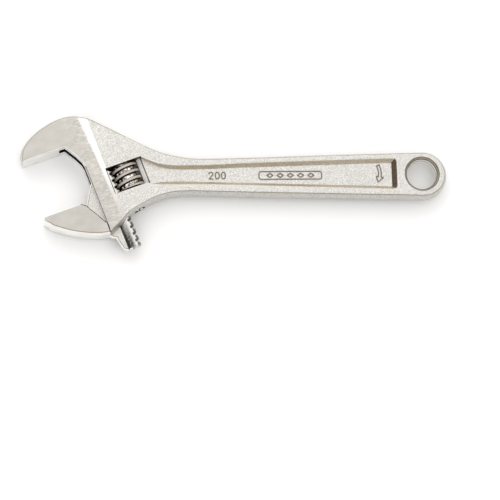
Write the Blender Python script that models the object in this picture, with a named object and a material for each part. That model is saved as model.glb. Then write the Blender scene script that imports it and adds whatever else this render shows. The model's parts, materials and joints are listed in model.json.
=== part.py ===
"""Adjustable wrench, 200 mm long, lying flat with its jaws nearly fully open.

Five pieces, as the real tool has: a forged body that carries the fixed jaw and the handle, a movable
jaw with its rack, a worm that the thumb turns, the screw pin that the worm turns on, and the small
spring that keeps the worm from turning by itself.

Two sets of directions are used, both in millimetres from the centre of the hang hole. x runs along
the handle towards its round end, y across it and z up from the face that the tool lies on. u and v
are x and y turned by the head's angle: u runs along the jaw faces, v along the jaw's slide.
"""

import math

import bmesh
import bpy
from mathutils import Matrix, Vector

MM = 0.001

# Overall
HEAD_ANGLE = 20.0           # degrees from the handle's line to the jaw faces
HEAD_THICK = 13.0
HANDLE_THICK = 9.5
SHIFT = (89.3, 3.067, 0.0)   # from the hang hole's centre to the middle of the tool's box

# Body
SIDE_BULGE = 1.4            # how far the forged sides stand out at mid thickness
FIXED_FACE_V = 70.8
THROAT_U = -149.4
HANDLE_END_R = 11.6
HANDLE_END = (0.7, -0.2)
HANG_HOLE_R = 7.5
RIDGE_U = -141.5            # where the ground flats end and the drop to the forged skin begins
RIDGE_DROP = 0.45
RIDGE_WIDTH = 2.2
NECK = (-141.0, -103.0)     # x of the neck, where the head's thickness falls to the handle's
CHANNEL_FLOOR = 2.9         # height of the channel's floor over mid thickness
CHANNEL_DEPTH = 2.3
CHANNEL_SLOPE = 1.9

# Worm, its window and its pin
WORM_U = -132.2
LEAD = 3.4
CREST_R = 6.4
ROOT_R = 4.7
CREST_WIDTH = 1.0
ROOT_GAP = 1.5
WORM_V = (41.55, 54.15)
CREST_V = 52.3              # a crest's place on the worm's upper side
WINDOW_U = (-140.6, -125.3)
WINDOW_V = (41.3, 54.4)
WINDOW_LEAN = 1.4
WINDOW_LEAN_Z = 2.5
WINDOW_REACH = 9.5
PIN_R = 1.85
PIN_V = (32.2, 60.0)
PIN_HOLE_R = 2.05
WORM_BORE_R = 2.05
POCKET_R = 3.1
POCKET_DEPTH = 3.8
SPRING_R = 2.5
SPRING_WIRE_R = 0.28
SPRING_TURNS = 3

# Movable jaw and its rack
OPENING = 28.5              # between the jaw faces, as the tool lies
JAW_EDGE_U = THROAT_U - 0.35
ROD_U = -140.9
ROD_R = 3.4
ROD_V = (15.2, 56.0)
BORE_R = 3.65
WEB_THICK = 4.4
SLOT_THICK = 5.0
TOOTH_DEPTH = 1.9
GROOVE_WIDTH = (1.2, 2.2)   # of a rack groove, at its root and at its mouth

MID_Z = HEAD_THICK / 2
JAW_V = FIXED_FACE_V - OPENING

COLOURS = {
    "body": ((0.72, 0.70, 0.67), 0.42),
    "movable_jaw": ((0.66, 0.64, 0.61), 0.34),
    "worm": ((0.60, 0.59, 0.57), 0.22),
    "worm_pin": ((0.45, 0.45, 0.45), 0.35),
    "tension_spring": ((0.35, 0.36, 0.38), 0.30),
}


# ---------------------------------------------------------------- outlines

def head(u, v):
    """Turns a point of the head's directions into x and y."""
    angle = math.radians(HEAD_ANGLE)
    return (u * math.cos(angle) - v * math.sin(angle), u * math.sin(angle) + v * math.cos(angle))


def smooth(points, steps=4):
    """Gives a smooth curve through the points, with a number of steps between each two."""
    ends = [points[0]] + list(points) + [points[-1]]
    curve = []
    for a, b, c, d in zip(ends, ends[1:], ends[2:], ends[3:]):
        for k in range(steps):
            t = k / steps
            curve.append(tuple(
                0.5 * (2 * q + (r - p) * t + (2 * p - 5 * q + 4 * r - s) * t * t
                       + (3 * q - p - 3 * r + s) * t ** 3)
                for p, q, r, s in zip(a, b, c, d)))
    return curve + [points[-1]]


def even(curve, count):
    """Spreads count points evenly along a curve."""
    lengths = [0.0]
    for a, b in zip(curve, curve[1:]):
        lengths.append(lengths[-1] + math.dist(a, b))
    result = []
    k = 0
    for i in range(count):
        target = lengths[-1] * i / (count - 1)
        while k < len(curve) - 2 and lengths[k + 1] < target:
            k += 1
        t = (target - lengths[k]) / (lengths[k + 1] - lengths[k])
        result.append(tuple(p + (q - p) * t for p, q in zip(curve[k], curve[k + 1])))
    return result


def inset(loop, distance):
    """Moves each point of an anticlockwise loop inwards, by a distance or one for each point."""
    count = len(loop)
    each = distance if isinstance(distance, list) else [distance] * count
    moved = []
    for i, (x, y) in enumerate(loop):
        before = Vector(loop[i]) - Vector(loop[i - 1])
        after = Vector(loop[(i + 1) % count]) - Vector(loop[i])
        along = (before.normalized() + after.normalized()).normalized()
        lean = max(0.5, along.dot(after.normalized()))
        moved.append((x - along.y * each[i] / lean, y + along.x * each[i] / lean))
    return moved


# The body's outline at mid thickness, from the ridge behind the jaws
UPPER_EDGE = [(-161.2, 28.9), (-157.9, 28.1), (-153.2, 25.8), (-143.8, 21.0), (-134.4, 16.2),
              (-125.0, 12.0), (-115.6, 9.7), (-106.0, 8.8), (-82.0, 9.2), (-34.0, 10.6), (0.7, 11.4)]
LOWER_EDGE = [(-142.4, -22.6), (-139.8, -19.3), (-136.9, -17.0), (-132.1, -14.3), (-127.6, -12.0),
              (-120.5, -9.7), (-113.0, -9.1), (-106.0, -9.1), (-82.0, -9.8), (-34.0, -11.0), (0.7, -11.8)]
FIXED_JAW_BACK = [(-161.2, 28.9), (-163.8, 29.3), (-167.5, 29.3), (-172.0, 28.3), (-176.7, 26.1),
                  (-181.5, 23.0), (-184.8, 20.2), (-187.9, 16.8), (-190.1, 13.1), (-190.9, 9.7),
                  (-190.5, 7.4)]
STATIONS = 26
END_STEPS = 8


def body_stations():
    """Gives the body's matching upper and lower points behind the ridge, out to its round end."""
    pairs = list(zip(even(smooth(UPPER_EDGE), STATIONS), even(smooth(LOWER_EDGE), STATIONS)))
    for k in range(1, END_STEPS):
        angle = math.pi / 2 * k / END_STEPS
        x = HANDLE_END[0] + HANDLE_END_R * math.sin(angle)
        y = HANDLE_END_R * math.cos(angle)
        pairs.append(((x, HANDLE_END[1] + y), (x, HANDLE_END[1] - y)))
    return pairs


def half_thickness(point):
    """Gives half the body's thickness there: full on the head, a short drop, then a long slope."""
    u = point[0] * math.cos(math.radians(HEAD_ANGLE)) + point[1] * math.sin(math.radians(HEAD_ANGLE))
    drop = min(1.0, max(0.0, (u - RIDGE_U) / RIDGE_WIDTH))
    slope = min(1.0, max(0.0, (point[0] - NECK[0]) / (NECK[1] - NECK[0])))
    fall = (HEAD_THICK - HANDLE_THICK) / 2 - RIDGE_DROP
    return HEAD_THICK / 2 - RIDGE_DROP * drop - fall * slope


# ---------------------------------------------------------------- making objects

def start():
    """Clears the scene and makes the two collections."""
    for old in list(bpy.data.objects):
        bpy.data.objects.remove(old)
    made = {}
    for name in ("Adjustable wrench", "Cutters"):
        made[name] = bpy.data.collections.new(name)
        bpy.context.scene.collection.children.link(made[name])
    root = bpy.data.objects.new("wrench_origin", None)
    root.location = [value * MM for value in SHIFT]
    made["Adjustable wrench"].objects.link(root)
    return made, root


def add(name, bm, cutter=False):
    """Makes an object of a mesh drawn in millimetres, closed and with its faces pointing out."""
    bmesh.ops.scale(bm, vec=(MM, MM, MM), verts=bm.verts)
    bmesh.ops.recalc_face_normals(bm, faces=bm.faces)
    mesh = bpy.data.meshes.new(name)
    bm.to_mesh(mesh)
    bm.free()
    obj = bpy.data.objects.new(name, mesh)
    COLLECTIONS["Cutters" if cutter else "Adjustable wrench"].objects.link(obj)
    obj.parent = ROOT
    if cutter:
        obj.hide_render = True
        obj.display_type = "WIRE"
    else:
        mesh.materials.append(make_material(name))
    return obj


def make_material(name):
    """Makes a piece's own metal."""
    colour, roughness = COLOURS[name]
    material = bpy.data.materials.new(name)
    material.use_nodes = True
    shader = material.node_tree.nodes["Principled BSDF"]
    shader.inputs["Base Color"].default_value = (*colour, 1.0)
    shader.inputs["Metallic"].default_value = 1.0
    shader.inputs["Roughness"].default_value = roughness
    return material


def loft(levels):
    """Joins closed loops of the same number of points into one solid, with flat ends."""
    bm = bmesh.new()
    rings = [[bm.verts.new(point) for point in level] for level in levels]
    for lower, upper in zip(rings, rings[1:]):
        for i in range(len(lower)):
            j = (i + 1) % len(lower)
            bm.faces.new((lower[i], lower[j], upper[j], upper[i]))
    bm.faces.new(rings[0])
    bm.faces.new(rings[-1])
    return bm


def prism(outline, low, high):
    """Makes an upright prism of a flat outline."""
    return loft([[(x, y, z) for x, y in outline] for z in (low, high)])


def lying_cylinder(u, radius, low, high, sides=40):
    """Makes a cylinder along v at mid thickness."""
    bm = bmesh.new()
    middle = head(u, (low + high) / 2)
    turn = Matrix.Rotation(math.radians(HEAD_ANGLE), 4, "Z") @ Matrix.Rotation(-math.pi / 2, 4, "X")
    bmesh.ops.create_cone(bm, cap_ends=True, segments=sides, radius1=radius, radius2=radius,
                          depth=high - low, matrix=Matrix.Translation((*middle, MID_Z)) @ turn)
    return bm


def cut(obj, cutter, operation="DIFFERENCE"):
    """Adds a Boolean modifier that applies the cutter to the object."""
    modifier = obj.modifiers.new(cutter.name, "BOOLEAN")
    modifier.operation = operation
    modifier.solver = "EXACT"
    modifier.object = cutter


def shade(obj):
    """Shades an object smooth, apart from its sharp edges."""
    obj.data.shade_smooth()
    obj.data.set_sharp_from_angle(angle=math.radians(32))


# ---------------------------------------------------------------- body

def make_blank():
    """Makes the forging: flat head, sloping neck and handle, with sides that bulge."""
    machined = [head(-176.1, FIXED_FACE_V), head(-155.2, FIXED_FACE_V), head(-154.5, 69.9),
                head(-151.7, 65.2), head(-149.9, 61.5), head(THROAT_U, 58.8), head(THROAT_U, 26.0)]
    corner = [head(THROAT_U + 0.3, 24.0)]
    back = smooth(FIXED_JAW_BACK, 3)[1:]
    stations = body_stations()
    nose = (HANDLE_END[0] + HANDLE_END_R, HANDLE_END[1])
    loop = [pair[0] for pair in reversed(stations)] + back + machined + corner
    loop += [pair[1] for pair in stations] + [nose]
    flat = len(stations) + len(back)
    bulge = [SIDE_BULGE] * len(loop)
    for i in range(flat, flat + len(machined)):
        bulge[i] = 0.0
    bm = bmesh.new()
    rings = []
    for height, part in ((-1.0, 1.0), (-0.8, 0.5), (-0.45, 0.14), (0.0, 0.0),
                         (0.45, 0.14), (0.8, 0.5), (1.0, 1.0)):
        ring = inset(loop, [part * value for value in bulge])
        rings.append([bm.verts.new((x, y, MID_Z + height * half_thickness(loop[i])))
                      for i, (x, y) in enumerate(ring)])
    for lower, upper in zip(rings, rings[1:]):
        for i in range(len(loop)):
            j = (i + 1) % len(loop)
            bm.faces.new((lower[i], lower[j], upper[j], upper[i]))
    count = len(stations)
    first_lower = len(loop) - 1 - count
    for ring in (rings[0], rings[-1]):
        bm.faces.new(ring[count - 1:first_lower + 1])
        for k in range(count - 1):
            near = (ring[count - 1 - k], ring[count - 2 - k])
            far = (ring[first_lower + k + 1], ring[first_lower + k])
            bm.faces.new((*near, *far))
        bm.faces.new((ring[0], ring[-1], ring[-2]))
    bmesh.ops.triangulate(bm, faces=[face for face in bm.faces if len(face.verts) == 4])
    return add("body", bm)


# The channel's outline at the top of its walls, from its round end near the hang hole. Its end at
# the worm's window, points 9 and 10, has upright walls.
CHANNEL = [(-12.4, 7.4), (-14.2, 8.1), (-34.0, 7.6), (-82.0, 6.1), (-106.0, 4.9), (-118.0, 4.4),
           (-125.2, 5.1), (-129.9, 6.7), (-133.4, 8.2), (-135.2, 8.4), (-130.6, -4.3), (-106.0, -4.9),
           (-82.0, -5.6), (-34.0, -7.1), (-14.2, -7.6), (-12.4, -6.9), (-11.8, -5.4), (-11.8, 5.9)]


def channel_cutter(side):
    """Makes the cutter of the handle's channel on one face, with sloping walls."""
    walls = [0.0 if point in CHANNEL[9:11] else CHANNEL_SLOPE for point in CHANNEL]
    levels = []
    for share in (0.0, 1.0, 1.9):
        ring = inset(CHANNEL, [(1.0 - share) * wall for wall in walls])
        z = MID_Z + side * (CHANNEL_FLOOR + share * CHANNEL_DEPTH)
        levels.append([(x, y, z) for x, y in ring])
    return add("channel_upper" if side > 0 else "channel_lower", loft(levels), cutter=True)


def window_cutter():
    """Makes the cutter of the worm's window, whose wall by the handle leans out to both faces."""
    low, high = WINDOW_U
    levels = []
    for w in (-WINDOW_REACH, -WINDOW_LEAN_Z, 0.0, WINDOW_LEAN_Z, WINDOW_REACH):
        wall = high + (WINDOW_LEAN if w else 0.0)
        corners = ((low, WINDOW_V[0]), (wall, WINDOW_V[0]), (wall, WINDOW_V[1]), (low, WINDOW_V[1]))
        levels.append([(*head(u, v), MID_Z + w) for u, v in corners])
    return add("worm_window", loft(levels), cutter=True)


def slot_cutter():
    """Makes the cutter of the web's slot, from the throat into the fixed jaw's root."""
    outline = [head(-152.0, 10.0), head(ROD_U - 1.5, 10.0), head(ROD_U - 1.5, 80.4),
               head(-150.0, 80.4), head(-156.3, 71.6), head(-157.8, 71.6), head(-157.8, 66.0),
               head(-152.0, 60.0)]
    return add("web_slot", prism(outline, MID_Z - SLOT_THICK / 2, MID_Z + SLOT_THICK / 2), cutter=True)


def make_body():
    """Makes the forged body and cuts it."""
    body = make_blank()
    shade(body)
    for side in (1, -1):
        cut(body, channel_cutter(side))
    cut(body, window_cutter())
    cut(body, slot_cutter())
    cut(body, add("rod_bore", lying_cylinder(ROD_U, BORE_R, 5.0, 95.0), cutter=True))
    cut(body, add("pin_hole", lying_cylinder(WORM_U, PIN_HOLE_R, 20.0, 60.6, 24), cutter=True))
    rings = [(HANG_HOLE_R + 2.5, -1.5), (HANG_HOLE_R, 2.9), (HANG_HOLE_R, HEAD_THICK - 2.9),
             (HANG_HOLE_R + 2.5, HEAD_THICK + 1.5)]
    hole = loft([[(radius * math.cos(math.tau * k / 48), radius * math.sin(math.tau * k / 48), z)
                  for k in range(48)] for radius, z in rings])
    cut(body, add("hang_hole", hole, cutter=True))
    return body


# ---------------------------------------------------------------- movable jaw

def make_jaw():
    """Makes the hook jaw, its web and the toothed rod."""
    back = smooth([(-176.6, 41.0), (-174.4, 37.1), (-171.3, 34.4), (-167.4, 31.5), (-163.3, 29.1),
                   (-159.0, 27.0), (-154.6, 25.3), (JAW_EDGE_U, 24.2)], 3)
    shoulder = [(JAW_EDGE_U, 30.0), (-152.5, 35.2), (-155.7, 40.7), (-157.7, JAW_V)]
    face = [(-176.0, JAW_V)]
    loop = [head(u, v) for u, v in back + shoulder + face]
    bulge = [0.9] * (len(back) - 1) + [0.0] * (len(shoulder) + len(face) + 1)
    levels = []
    for height, part in ((-1.0, 1.0), (-0.75, 0.3), (0.0, 0.0), (0.75, 0.3), (1.0, 1.0)):
        ring = inset(loop, [part * value for value in bulge])
        z = MID_Z + height * (HEAD_THICK / 2 - 0.02)
        levels.append([(x, y, z) for x, y in ring])
    jaw = add("movable_jaw", loft(levels))
    shade(jaw)
    web = [(-157.0, 33.0), (-151.5, 25.5), (-148.9, 22.9), (-147.5, 22.2), (-146.9, 18.4),
           (-146.1, 15.8), (-144.8, 14.9), (ROD_U - 1.0, 14.9), (ROD_U - 1.0, 51.6), (-148.3, 51.6),
           (-149.4, 50.8), (-152.0, 46.9), (-155.2, 41.6)]
    plate = prism([head(u, v) for u, v in web], MID_Z - WEB_THICK / 2, MID_Z + WEB_THICK / 2)
    cut(jaw, add("web_union", plate, cutter=True), "UNION")
    rod = lying_cylinder(ROD_U, ROD_R, ROD_V[0], ROD_V[1])
    cut(jaw, add("rod_union", rod, cutter=True), "UNION")
    cut(jaw, rod_end_cutter())
    cut(jaw, rack_cutter())
    return jaw


def rod_end_cutter():
    """Makes the cutter that slopes the rod's upper end like the head's top edge."""
    outline = [head(-146.5, 56.9), head(-134.0, 50.6), head(-134.0, 60.0), head(-146.5, 60.0)]
    return add("rod_end", prism(outline, 0.0, HEAD_THICK), cutter=True)


def rack_cutter():
    """Makes the comb that cuts the rack's grooves, which lean with the worm's thread."""
    lean = LEAD / (math.tau * CREST_R)
    root, mouth = GROOVE_WIDTH
    root_u = ROD_U + ROD_R - TOOTH_DEPTH
    flare = (mouth - root) / 2 / TOOTH_DEPTH * (TOOTH_DEPTH + 0.6)
    crest = CREST_V - LEAD / 4
    bm = bmesh.new()
    count = int((crest - 14.0) / LEAD)
    for k in range(-1, count + 1):
        middle = crest - k * LEAD
        profile = [(root_u, middle - root / 2), (root_u + TOOTH_DEPTH + 0.6, middle - root / 2 - flare),
                   (root_u + TOOTH_DEPTH + 0.6, middle + root / 2 + flare), (root_u, middle + root / 2)]
        rings = []
        for w in (-4.5, 4.5):
            rings.append([bm.verts.new((*head(u, v + w * lean), MID_Z + w)) for u, v in profile])
        for i in range(4):
            j = (i + 1) % 4
            bm.faces.new((rings[0][i], rings[0][j], rings[1][j], rings[1][i]))
        bm.faces.new(rings[0])
        bm.faces.new(rings[1])
    return add("rack_grooves", bm, cutter=True)


# ---------------------------------------------------------------- worm, pin and spring

def around(u, radius, turn, v):
    """Gives a point at a radius round an axis along v; turn 0 is straight up, and grows towards +u."""
    angle = math.tau * turn
    return (*head(u + radius * math.sin(angle), v), MID_Z + radius * math.cos(angle))


def turned(u, profile, sides, hollow=False):
    """Turns a profile of (radius, v) round an axis along v. A hollow one closes on itself."""
    levels = [[around(u, radius, k / sides, v) for k in range(sides)] for radius, v in profile]
    if not hollow:
        return loft(levels)
    bm = bmesh.new()
    rings = [[bm.verts.new(point) for point in level] for level in levels]
    for i, ring in enumerate(rings):
        nearby = rings[(i + 1) % len(rings)]
        for k in range(sides):
            m = (k + 1) % sides
            bm.faces.new((ring[k], ring[m], nearby[m], nearby[k]))
    return bm


def make_thread(sides=40, turns=7):
    """Makes a right-hand thread longer than the worm: rows that climb one lead in each turn."""
    slope = (LEAD - CREST_WIDTH - ROOT_GAP) / 2
    tooth = [(-CREST_WIDTH / 2, CREST_R), (CREST_WIDTH / 2, CREST_R),
             (CREST_WIDTH / 2 + slope, ROOT_R), (CREST_WIDTH / 2 + slope + ROOT_GAP, ROOT_R)]
    low = CREST_V - LEAD * (turns - 2)
    rows = turns * len(tooth)
    bm = bmesh.new()
    columns = []
    for j in range(sides):
        column = []
        for k in range(rows):
            place, radius = tooth[k % len(tooth)]
            v = low + LEAD * (k // len(tooth) + j / sides) + place
            column.append(bm.verts.new(around(WORM_U, radius, j / sides, v)))
        columns.append(column)
    for j in range(sides):
        climb = len(tooth) if j == sides - 1 else 0
        column = columns[j]
        nearby = columns[(j + 1) % sides][climb:]
        for k in range(len(nearby) - 1):
            bm.faces.new((column[k], nearby[k], nearby[k + 1], column[k + 1]))
    bmesh.ops.holes_fill(bm, edges=[edge for edge in bm.edges if edge.is_boundary])
    return bm


def make_worm():
    """Makes the worm: the thread, kept inside a turned blank with a bore and a spring pocket."""
    low, high = WORM_V
    profile = [(WORM_BORE_R, low), (CREST_R - 0.5, low), (CREST_R + 0.2, low + 0.8),
               (CREST_R + 0.2, high - 0.8), (CREST_R - 0.5, high), (POCKET_R, high),
               (POCKET_R, high - POCKET_DEPTH), (WORM_BORE_R, high - POCKET_DEPTH)]
    worm = add("worm", make_thread())
    shade(worm)
    blank = add("worm_blank", turned(WORM_U, profile, 40, hollow=True), cutter=True)
    cut(worm, blank, "INTERSECT")
    return worm


def make_pin():
    """Makes the screw pin that the worm turns on, with a driver slot in its lower end."""
    low, high = PIN_V
    profile = [(PIN_R - 0.3, low), (PIN_R, low + 0.3), (PIN_R, high - 0.5), (PIN_R - 0.5, high)]
    pin = add("worm_pin", turned(WORM_U, profile, 24))
    shade(pin)
    slot = [head(WORM_U - 0.4, low - 1.0), head(WORM_U + 0.4, low - 1.0),
            head(WORM_U + 0.4, low + 1.1), head(WORM_U - 0.4, low + 1.1)]
    cut(pin, add("driver_slot", prism(slot, 0.0, HEAD_THICK), cutter=True))
    return pin


def make_spring():
    """Makes the coil that presses the worm against the window's end, round the pin."""
    low = WORM_V[1] - POCKET_DEPTH + 0.3 + SPRING_WIRE_R
    high = WINDOW_V[1] - 0.3 - SPRING_WIRE_R
    steps = 14 * SPRING_TURNS
    points = [around(WORM_U, SPRING_R, SPRING_TURNS * k / steps, low + (high - low) * k / steps)
              for k in range(steps + 1)]
    curve = bpy.data.curves.new("tension_spring", "CURVE")
    curve.dimensions = "3D"
    curve.bevel_depth = SPRING_WIRE_R * MM
    curve.bevel_resolution = 2
    curve.use_fill_caps = True
    spline = curve.splines.new("POLY")
    spline.points.add(steps)
    for target, point in zip(spline.points, points):
        target.co = (*[value * MM for value in point], 1.0)
    spring = bpy.data.objects.new("tension_spring", curve)
    COLLECTIONS["Adjustable wrench"].objects.link(spring)
    spring.parent = ROOT
    curve.materials.append(make_material("tension_spring"))
    return spring


COLLECTIONS, ROOT = start()
make_body()
make_jaw()
make_worm()
make_pin()
make_spring()
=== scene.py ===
"""Adjustable wrench: its looks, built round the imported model.

Every place is in the frame's own metres. Shapes are drawn in millimetres from the middle of the
hang hole: x runs along the handle, y across it, and u and v are x and y turned by the head's angle,
so that u runs along the jaw faces and v along the jaw's slide.
"""

import json
import math

import bmesh
import bpy
import numpy as np
from bpy.props import FloatProperty, FloatVectorProperty, PointerProperty
from bpy.types import Operator, Panel, PropertyGroup
from mathutils import Euler, Matrix, Vector


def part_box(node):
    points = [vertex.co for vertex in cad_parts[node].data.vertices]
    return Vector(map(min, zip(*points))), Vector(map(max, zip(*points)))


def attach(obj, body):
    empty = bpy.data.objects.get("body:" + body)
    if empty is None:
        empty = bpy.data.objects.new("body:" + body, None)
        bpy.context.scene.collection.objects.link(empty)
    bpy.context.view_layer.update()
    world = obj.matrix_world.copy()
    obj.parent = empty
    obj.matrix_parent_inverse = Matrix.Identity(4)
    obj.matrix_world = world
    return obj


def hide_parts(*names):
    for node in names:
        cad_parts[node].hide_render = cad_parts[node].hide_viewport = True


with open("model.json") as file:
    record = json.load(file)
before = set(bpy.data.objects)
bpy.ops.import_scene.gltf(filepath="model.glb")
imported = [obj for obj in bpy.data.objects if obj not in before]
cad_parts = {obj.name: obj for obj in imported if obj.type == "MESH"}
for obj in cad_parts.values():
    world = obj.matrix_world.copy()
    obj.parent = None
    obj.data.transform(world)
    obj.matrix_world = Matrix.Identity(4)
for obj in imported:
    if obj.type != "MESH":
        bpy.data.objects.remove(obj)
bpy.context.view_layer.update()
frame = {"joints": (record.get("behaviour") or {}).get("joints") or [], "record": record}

bl_info = {
    "name": "Adjustable wrench",
    "version": (1, 0, 0),
    "blender": (4, 5, 0),
    "location": "3D View > Sidebar > Wrench",
    "description": "Builds a forged adjustable wrench with its sliding jaw, worm and pin",
    "category": "Object",
}

MM = 0.001

JOINTS = {joint["name"]: joint for joint in frame["joints"]}
OPENINGS = {item["name"]: item["box_m"] for item in frame["record"]["physics"]["openings"]}
SLIDE = JOINTS["jaw_slide"]["axis"]
HEAD_TURN = math.atan2(-SLIDE[0], SLIDE[1])
HOLE = [(a + b) / 2 / MM for a, b in zip(*OPENINGS["hang_hole"])]
MID_Z = JOINTS["worm_spin"]["pos_m"][2] / MM
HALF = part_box("body")[1].z / MM - MID_Z
WORM_AT = np.array(JOINTS["worm_spin"]["pos_m"][:2]) / MM - HOLE[:2]
LEAD = math.tau / abs(frame["record"]["behaviour"]["couplings"][0]["ratio"]) / MM
U_AXIS = (math.cos(HEAD_TURN), math.sin(HEAD_TURN))
V_AXIS = (-math.sin(HEAD_TURN), math.cos(HEAD_TURN))
WORM_U = float(WORM_AT @ U_AXIS)

# Places and sizes that pieces share, in u, v and millimetres
FIXED_FACE_V = 70.8
THROAT_U = -149.4
OPENING = 28.5                  # between the jaw faces
RIDGE_AT = (-141.4, 26.0)       # a point of the ridge where the ground flats end
RIDGE_LEAN = 0.034              # how far the ridge leans from v
ROD_U = -140.9
ROD_RADIUS = 3.4
WINDOW_V = (41.3, 54.4)
WORM_V = (41.55, 54.15)
CREST_V = 52.3                  # a crest's place on the worm's upper side


# ---------------------------------------------------------------- sizes and colours

class BodySizes(PropertyGroup):
    """Sizes of the forging, in millimetres."""
    bulge: FloatProperty(name="Side bulge", description="How far the sides stand out", default=1.15)
    ridge_drop: FloatProperty(name="Ridge drop", description="Step from the ground flat down to the "
                              "forged skin", default=0.45)
    handle_half: FloatProperty(name="Half handle", description="Half the handle's thickness",
                               default=4.75)
    head_round: FloatProperty(name="Head edge", description="Radius of the head's edges", default=0.35)
    handle_round: FloatProperty(name="Handle edge", description="Radius of the handle's edges",
                                default=0.75)
    channel_floor: FloatProperty(name="Channel floor", description="Height of the channel's floor "
                                 "over the middle", default=2.9)
    channel_slope: FloatProperty(name="Channel slope", description="Lean of the channel's wall, for "
                                 "each unit of height", default=0.83)
    hole_radius: FloatProperty(name="Hang hole", description="Radius of the hang hole", default=7.25)
    hole_bevel: FloatProperty(name="Hole bevel", description="Width of the bevel round the hang hole",
                              default=1.1)


class WormSizes(PropertyGroup):
    """Sizes of the worm and its thread, in millimetres."""
    crest: FloatProperty(name="Crest radius", description="Radius over the thread", default=6.4)
    root: FloatProperty(name="Root radius", description="Radius between the threads", default=4.7)
    crest_width: FloatProperty(name="Crest width", description="Flat on top of the thread", default=1.05)
    root_gap: FloatProperty(name="Root gap", description="Flat between two threads", default=1.4)


class Finish(PropertyGroup):
    """Colours of the metals."""
    forged: FloatVectorProperty(name="Forged skin", description="Plated forged surface",
                                subtype="COLOR", default=(0.585, 0.57, 0.545))
    ground: FloatVectorProperty(name="Ground flat", description="Plated ground surface",
                                subtype="COLOR", default=(0.475, 0.452, 0.418))
    plate: FloatVectorProperty(name="Bright plate", description="Sides and bevels that keep their "
                               "plating", subtype="COLOR", default=(0.90, 0.89, 0.87))
    turned: FloatVectorProperty(name="Turned steel", description="The worm and the rack",
                                subtype="COLOR", default=(0.70, 0.68, 0.65))
    # painted shade: near black for the insides of slots, holes, grooves and gaps, where little light
    # reaches
    cut: FloatVectorProperty(name="Cut walls", description="Insides of slots and holes",
                             subtype="COLOR", default=(0.045, 0.042, 0.038))
    crest: FloatVectorProperty(name="Thread crest", description="The worn top of the worm's thread",
                               subtype="COLOR", default=(0.50, 0.425, 0.37))


class Studio(PropertyGroup):
    """The camera and the light."""
    lens: FloatProperty(name="Lens", description="Focal length in millimetres", default=156.1)
    light: FloatProperty(name="Light", description="Strength of the softbox and the sky", default=1.0)


# ---------------------------------------------------------------- curves and surfaces

TIP_REACH = 3.0         # how far from a jaw's tip its bulge and edge radius fade


def head(points):
    """Turns points of u and v into x and y: a turn by the head's angle."""
    return np.asarray(points, float) @ np.array([U_AXIS, V_AXIS])


def unturned(points):
    """Turns x and y back into u and v."""
    return np.asarray(points, float) @ np.array([U_AXIS, V_AXIS]).T


def through(points, steps=16):
    """A smooth curve through the points: between two of them a cubic whose slope at each is half
    the way from the point before to the point after."""
    p = np.asarray(points, float)
    p = np.vstack([p[:1], p, p[-1:]])
    t = (np.arange(steps) / steps)[None, :, None]
    a, b, c, d = (p[i:len(p) - 3 + i][:, None, :] for i in range(4))
    curve = 0.5 * (2 * b + (c - a) * t + (2 * a - 5 * b + 4 * c - d) * t ** 2
                   + (3 * b - a - 3 * c + d) * t ** 3)
    return np.vstack([curve.reshape(-1, p.shape[1]), p[-1:]])


def at_lengths(curve, lengths):
    """The points of a curve at these distances along it."""
    reached = np.concatenate([[0.0], np.cumsum(np.linalg.norm(np.diff(curve, axis=0), axis=1))])
    return np.column_stack([np.interp(lengths, reached, curve[:, k]) for k in range(curve.shape[1])])


def length_of(curve):
    """The length of a curve."""
    return float(np.linalg.norm(np.diff(curve, axis=0), axis=1).sum())


def evenly(curve, count):
    """Points spread evenly along a curve."""
    return at_lengths(curve, np.linspace(0.0, length_of(curve), count))


def inset(loop, each_edge):
    """Moves an anticlockwise loop inwards. Edge i, from point i to the next, moves by each_edge[i],
    and a point goes to where its two moved edges cross."""
    after = np.roll(loop, -1, axis=0) - loop
    after /= np.linalg.norm(after, axis=1)[:, None]
    normal = np.column_stack([-after[:, 1], after[:, 0]])
    before = np.roll(normal, 1, axis=0)
    d_after = np.broadcast_to(np.asarray(each_edge, float), (len(loop),))
    d_before = np.roll(d_after, 1)
    cosine = np.clip((normal * before).sum(axis=1), -0.95, 1.0)
    straight = cosine > 0.985
    sine_squared = np.where(straight, 1.0, 1.0 - cosine ** 2)
    crossing = ((d_after - cosine * d_before)[:, None] * normal
                + (d_before - cosine * d_after)[:, None] * before) / sine_squared[:, None]
    middle = normal + before
    middle /= np.linalg.norm(middle, axis=1)[:, None]
    shift = np.where(straight[:, None], middle * ((d_after + d_before) / 2)[:, None], crossing)
    return loop + shift


def eased(loop, tip):
    """A factor for each edge of a loop: its distance from a pointed tip over TIP_REACH, at most 1."""
    middles = (loop + np.roll(loop, -1, axis=0)) / 2
    return np.clip(np.linalg.norm(middles - tip, axis=1) / TIP_REACH, 0.0, 1.0)


def rounded(corners, steps=6):
    """A closed outline of corners (x, y, radius): each corner is an arc that touches both sides."""
    corners = np.asarray(corners, float)
    result = []
    for before, (x, y, radius), after in zip(np.roll(corners, 1, axis=0), corners,
                                             np.roll(corners, -1, axis=0)):
        here = np.array([x, y])
        one = (before[:2] - here) / np.linalg.norm(before[:2] - here)
        two = (after[:2] - here) / np.linalg.norm(after[:2] - here)
        half = math.acos(max(-1.0, min(1.0, float(one @ two)))) / 2
        if radius <= 0:
            result.append(here[None])
            continue
        centre = here + (one + two) / np.linalg.norm(one + two) * radius / math.sin(half)
        start = here + one * radius / math.tan(half) - centre
        end = here + two * radius / math.tan(half) - centre
        turn = math.atan2(start[0] * end[1] - start[1] * end[0], start @ end)
        angles = np.linspace(0.0, turn, steps + 1)
        result.append(centre + np.column_stack([
            start[0] * np.cos(angles) - start[1] * np.sin(angles),
            start[0] * np.sin(angles) + start[1] * np.cos(angles)]))
    return np.vstack(result)


def oblong(left, right, low, high):
    """A rectangle between two places along u and two along v, in x and y."""
    return head([(left, low), (right, low), (right, high), (left, high)])


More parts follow.
